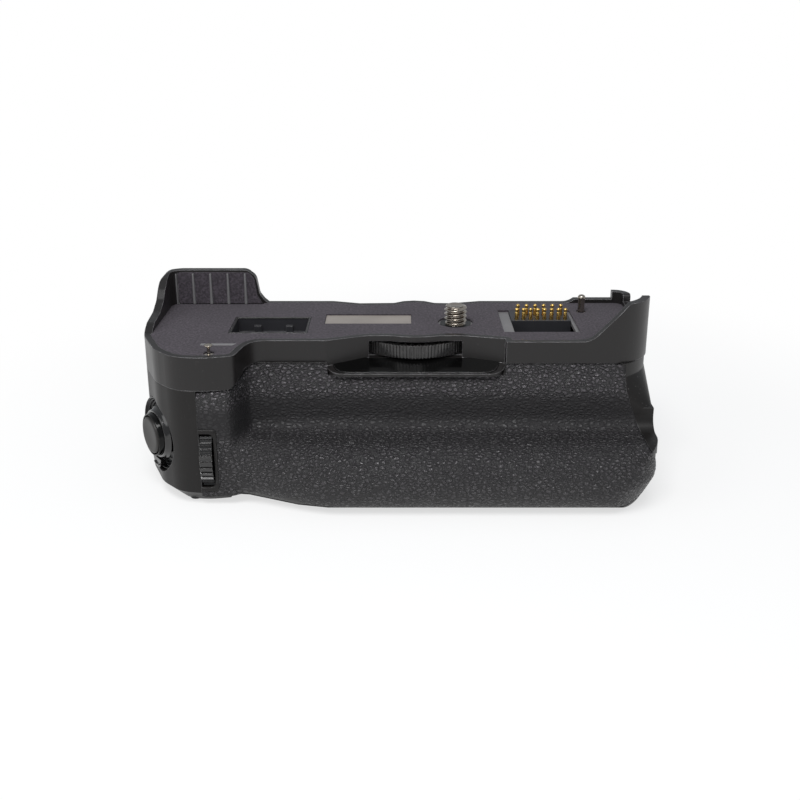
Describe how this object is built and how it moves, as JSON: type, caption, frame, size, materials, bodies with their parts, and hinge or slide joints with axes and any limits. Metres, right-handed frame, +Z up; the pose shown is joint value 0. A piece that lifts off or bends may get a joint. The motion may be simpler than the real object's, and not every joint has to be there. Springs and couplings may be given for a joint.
{
  "type": "camera battery grip",
  "caption": "Vertical battery grip for a camera: felt-topped deck with attachment screw, wheel and contacts, leather grip, shutter controls and a slide-out battery tray.",
  "frame": {"origin": "on the attachment screw's axis, level with the deck's top face that the camera stands on", "axes": "+Z up out of the deck along the attachment screw; +X along the grip, away from the shutter end; +Y to the rear, towards the viewer"},
  "size_m": [0.1414, 0.061, 0.0529],
  "materials": {
    "frame_black": "satin moulded",
    "casing_black": "satin moulded",
    "gloss_black": "semi-gloss",
    "inner_black": "matt",
    "dial_black": "satin",
    "battery_black": "satin",
    "deck_felt": "short dark nap",
    "grip_leather": "pebbled",
    "rubber_black": "matt",
    "deck_metal": "satin",
    "label_metal": "brushed",
    "bright_metal": "bright",
    "dark_metal": "blackened",
    "button_grey": "satin",
    "contact_gold": "gold plated",
    "circuit_board": "solder mask",
    "lamp_green": "clear green"
  },
  "bodies": {
    "grip": {"top_frame": "frame_black", "deck_plate": "deck_metal", "deck_felt": "deck_felt", "label_plate": "label_metal", "slot_strip": "bright_metal", "pocket_liner": "inner_black", "wall_liner": "frame_black", "connector_block": "inner_black", "locating_pins": "bright_metal", "screw_bush": "dark_metal", "wheel_bracket": "deck_metal", "wheel_axle": "bright_metal", "deck_screws": "dark_metal", "left_cover": "casing_black", "front_cover": "casing_black", "rear_cover": "casing_black", "bottom_cover": "casing_black", "front_grip_skin": "grip_leather", "rear_grip_skin": "grip_leather", "shutter_collar": "casing_black", "shutter_switch": "inner_black", "dial_bezel": "gloss_black", "front_dial_carrier": "inner_black", "rear_dial_carrier": "inner_black", "control_board": "circuit_board", "main_board": "circuit_board", "indicator_lamps": "lamp_green", "headphone_jack": "inner_black", "dc_in_jack": "inner_black", "terminal_pin": "bright_metal", "tripod_socket": "bright_metal", "base_screws": "dark_metal", "bay_chassis": "inner_black", "bay_contacts": "contact_gold"},
    "attachment_wheel": {"attachment_wheel": "frame_black"},
    "attachment_screw": {"attachment_screw": "bright_metal"},
    "contact_pins": {"contact_pins": "contact_gold"},
    "shutter_button": {"shutter_button": "button_grey"},
    "shutter_lock": {"shutter_lock_ring": "gloss_black"},
    "front_dial": {"front_dial": "dial_black"},
    "rear_dial": {"rear_dial": "dial_black"},
    "focus_button": {"focus_button": "gloss_black"},
    "exposure_button": {"exposure_button": "gloss_black"},
    "menu_button": {"menu_button": "gloss_black"},
    "focus_lever": {"focus_lever": "gloss_black"},
    "mode_switch": {"mode_switch": "gloss_black"},
    "tray": {"battery_tray": "inner_black", "tray_door": "casing_black", "battery_1": "battery_black", "battery_2": "battery_black", "tray_contacts": "contact_gold"},
    "tray_latch": {"tray_latch": "gloss_black"},
    "terminal_cover": {"terminal_cover": "rubber_black"}
  },
  "joints": [
    {"name": "wheel_spin", "type": "hinge", "parent": "grip", "child": "attachment_wheel", "pos_m": [-0.0115, 0.00343, -0.004], "axis": [0, 0, 1], "continuous": true},
    {"name": "screw_spin", "type": "hinge", "parent": "grip", "child": "attachment_screw", "pos_m": [0, 0, 0], "axis": [0, 0, 1], "continuous": true},
    {"name": "contact_press", "type": "slide", "parent": "grip", "child": "contact_pins", "axis": [0, 0, -1], "range_m": [0, 0.0008], "stiffness_N_per_m": 300},
    {"name": "shutter_press", "type": "slide", "parent": "grip", "child": "shutter_button", "axis": [0.809, 0.5878, 0], "range_m": [0, 0.001], "stiffness_N_per_m": 400},
    {"name": "shutter_lock_turn", "type": "hinge", "parent": "grip", "child": "shutter_lock", "pos_m": [-0.0827, -0.0189, -0.0261], "axis": [-0.809, -0.5878, 0], "range_deg": [0, 35]},
    {"name": "front_dial_spin", "type": "hinge", "parent": "grip", "child": "front_dial", "pos_m": [-0.06725, -0.0206, -0.0291], "axis": [1, 0, 0], "continuous": true},
    {"name": "rear_dial_spin", "type": "hinge", "parent": "grip", "child": "rear_dial", "pos_m": [-0.07, 0.0119, -0.0195], "axis": [1, 0, 0], "continuous": true},
    {"name": "focus_button_press", "type": "slide", "parent": "grip", "child": "focus_button", "axis": [0, -1, 0], "range_m": [0, 0.0006], "stiffness_N_per_m": 400},
    {"name": "exposure_button_press", "type": "slide", "parent": "grip", "child": "exposure_button", "axis": [0, -1, 0], "range_m": [0, 0.0006], "stiffness_N_per_m": 400},
    {"name": "menu_button_press", "type": "slide", "parent": "grip", "child": "menu_button", "axis": [0, -1, 0], "range_m": [0, 0.0006], "stiffness_N_per_m": 400},
    {"name": "focus_lever_tilt", "type": "hinge", "parent": "grip", "child": "focus_lever", "pos_m": [-0.0616, 0.0163, -0.0285], "axis": [0, 0, 1], "range_deg": [-8, 8], "stiffness_Nm_per_rad": 0.01},
    {"name": "mode_slide", "type": "slide", "parent": "grip", "child": "mode_switch", "axis": [1, 0, 0], "range_m": [0, 0.004]},
    {"name": "tray_slide", "type": "slide", "parent": "grip", "child": "tray", "axis": [1, 0, 0], "range_m": [0, 0.105]},
    {"name": "latch_slide", "type": "slide", "parent": "tray", "child": "tray_latch", "axis": [0, 1, 0], "range_m": [0, 0.003], "stiffness_N_per_m": 200},
    {"name": "terminal_hinge", "type": "hinge", "parent": "grip", "child": "terminal_cover", "pos_m": [-0.0857, 0.0119, -0.025], "axis": [0, 0, 1], "range_deg": [-95, 0]}
  ],
  "couplings": [
    {"joint": "screw_spin", "follows": "wheel_spin", "ratio": 3.8571}
  ]
}
